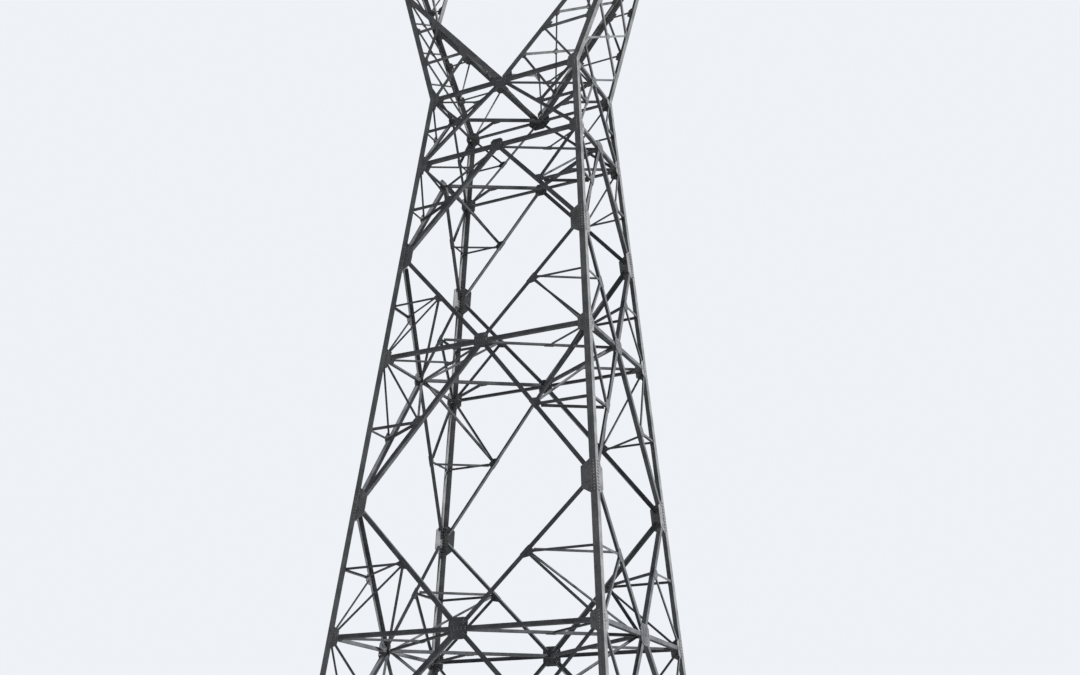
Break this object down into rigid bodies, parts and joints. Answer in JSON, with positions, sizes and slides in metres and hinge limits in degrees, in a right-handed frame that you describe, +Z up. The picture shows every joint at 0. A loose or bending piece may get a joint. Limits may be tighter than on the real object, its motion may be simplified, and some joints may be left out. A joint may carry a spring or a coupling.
{
  "type": "lattice transmission pylon",
  "caption": "Tapering steel lattice pylon with diamond braced faces, a narrow waist and a forked head that carries a bridge with crossarms and earth wire peaks.",
  "frame": {"origin": "on the ground, on the pylon's upright axis, between the four base plates", "axes": "+Z up, +X along the bridge to the right arm, +Y along the line route, away from the front face"},
  "size_m": [16.8266, 5.78, 30.792],
  "materials": {
    "legs": "weathered galvanised steel, dull",
    "bracing": "weathered galvanised steel, dull",
    "head": "weathered galvanised steel, dull",
    "plates": "weathered galvanised plate, dull"
  },
  "bodies": {
    "root": {"base_plate_front_left": "plates", "base_plate_front_right": "plates", "base_plate_back_left": "plates", "base_plate_back_right": "plates", "leg_front_left": "legs", "leg_front_right": "legs", "leg_back_left": "legs", "leg_back_right": "legs", "low_ring": "bracing", "middle_ring": "bracing", "high_ring": "bracing", "waist_ring": "bracing", "low_bracing_front_left": "bracing", "low_bracing_front_right": "bracing", "low_bracing_back_left": "bracing", "low_bracing_back_right": "bracing", "middle_bracing_front_left": "bracing", "middle_bracing_front_right": "bracing", "middle_bracing_back_left": "bracing", "middle_bracing_back_right": "bracing", "high_bracing_front_left": "bracing", "high_bracing_front_right": "bracing", "high_bracing_back_left": "bracing", "high_bracing_back_right": "bracing", "waist_bracing_front": "bracing", "waist_bracing_back": "bracing", "waist_bracing_left": "bracing", "waist_bracing_right": "bracing", "left_arm_lower_front": "head", "left_arm_lower_back": "head", "right_arm_lower_front": "head", "right_arm_lower_back": "head", "left_arm_upper_front": "head", "left_arm_upper_back": "head", "right_arm_upper_front": "head", "right_arm_upper_back": "head", "left_arm_outer_lacing": "bracing", "right_arm_outer_lacing": "bracing", "left_arm_lower_lacing": "bracing", "right_arm_lower_lacing": "bracing", "left_arm_upper_lacing": "bracing", "right_arm_upper_lacing": "bracing", "bridge_front": "head", "bridge_back": "head", "bridge_top_lacing": "bracing", "bridge_bottom_lacing": "bracing", "crossarm_left": "head", "crossarm_right": "head", "peak_left": "head", "peak_right": "head", "hanger_left": "plates", "hanger_right": "plates", "hanger_centre": "plates"}
  },
  "joints": []
}
